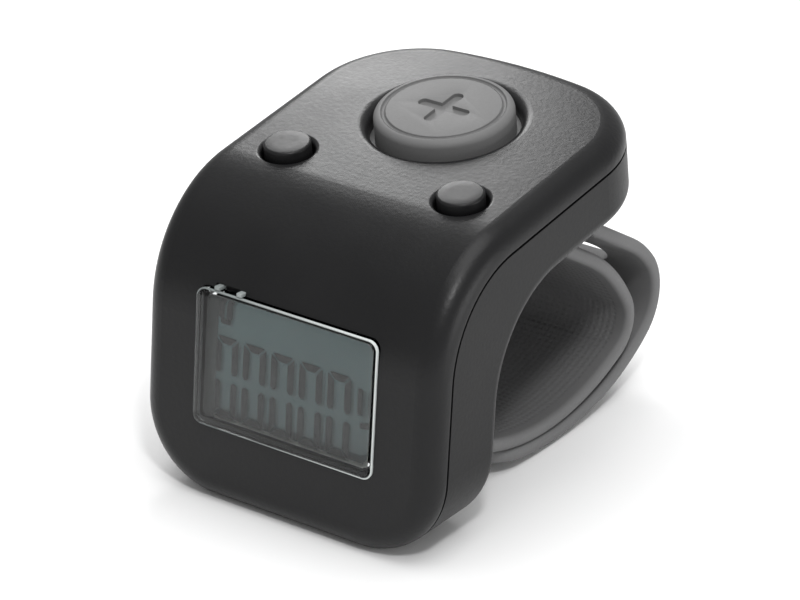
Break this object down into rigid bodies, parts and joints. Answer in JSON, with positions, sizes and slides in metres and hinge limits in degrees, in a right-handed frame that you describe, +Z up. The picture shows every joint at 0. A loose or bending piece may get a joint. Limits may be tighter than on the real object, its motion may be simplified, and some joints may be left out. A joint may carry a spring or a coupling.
{
  "type": "finger tally counter",
  "caption": "Finger-worn electronic tally counter with a round count button, two small buttons, a display window and a two-layer strap.",
  "frame": {"origin": "middle of the bounding box, at its bottom: the table under the counter's foot", "axes": "+X along the finger, +Y to the rear (the strap's side), +Z up; the display faces -Y"},
  "size_m": [0.0274, 0.0386, 0.0279],
  "materials": {
    "cover_black": "satin",
    "shell_charcoal": "matt",
    "clear_lens": "clear, polished",
    "display_glass": "gloss",
    "holder_white": "matt",
    "light_guide": "frosted",
    "lamp": "gloss",
    "connector_rubber": "matt",
    "board_green": "satin",
    "resin_black": "satin",
    "ribbon_film": "satin",
    "cell_steel": "satin",
    "contact_plate": "satin",
    "screw_steel": "satin",
    "strap_silicone": "matt",
    "button_silicone": "matt",
    "button_gloss": "gloss",
    "switch_body": "matt",
    "switch_plunger": "satin"
  },
  "bodies": {
    "case": {"top_cover": "cover_black", "finger_shell": "shell_charcoal", "battery_door": "shell_charcoal", "display_lens": "clear_lens", "display_glass": "display_glass", "display_holder": "holder_white", "light_guide": "light_guide", "backlight_lamp": "lamp", "upper_connector_strip": "connector_rubber", "lower_connector_strip": "connector_rubber", "front_board": "board_green", "top_board": "board_green", "counter_chip": "resin_black", "board_ribbon": "ribbon_film", "left_cell": "cell_steel", "right_cell": "cell_steel", "left_contact": "contact_plate", "right_contact": "contact_plate", "cell_link": "contact_plate", "case_screws": "screw_steel", "board_screws": "screw_steel", "door_screw": "screw_steel", "inner_strap": "strap_silicone", "outer_strap": "strap_silicone", "rear_strap_pin": "screw_steel", "count_switch": "switch_body", "reset_switch": "switch_body", "light_switch": "switch_body"},
    "count_press": {"count_button": "button_silicone", "count_plunger": "switch_plunger"},
    "reset_press": {"reset_button": "button_gloss", "reset_plunger": "switch_plunger"},
    "light_press": {"light_button": "button_gloss", "light_plunger": "switch_plunger"}
  },
  "joints": [
    {"name": "count_press", "type": "slide", "parent": "case", "child": "count_press", "axis": [0, 0.1374, -0.9905], "range_m": [0, 0.0006], "stiffness_N_per_m": 700, "springref_m": -0.0006},
    {"name": "reset_press", "type": "slide", "parent": "case", "child": "reset_press", "axis": [0, 0.1374, -0.9905], "range_m": [0, 0.0004], "stiffness_N_per_m": 700, "springref_m": -0.0004},
    {"name": "light_press", "type": "slide", "parent": "case", "child": "light_press", "axis": [0, 0.1374, -0.9905], "range_m": [0, 0.0004], "stiffness_N_per_m": 700, "springref_m": -0.0004}
  ]
}
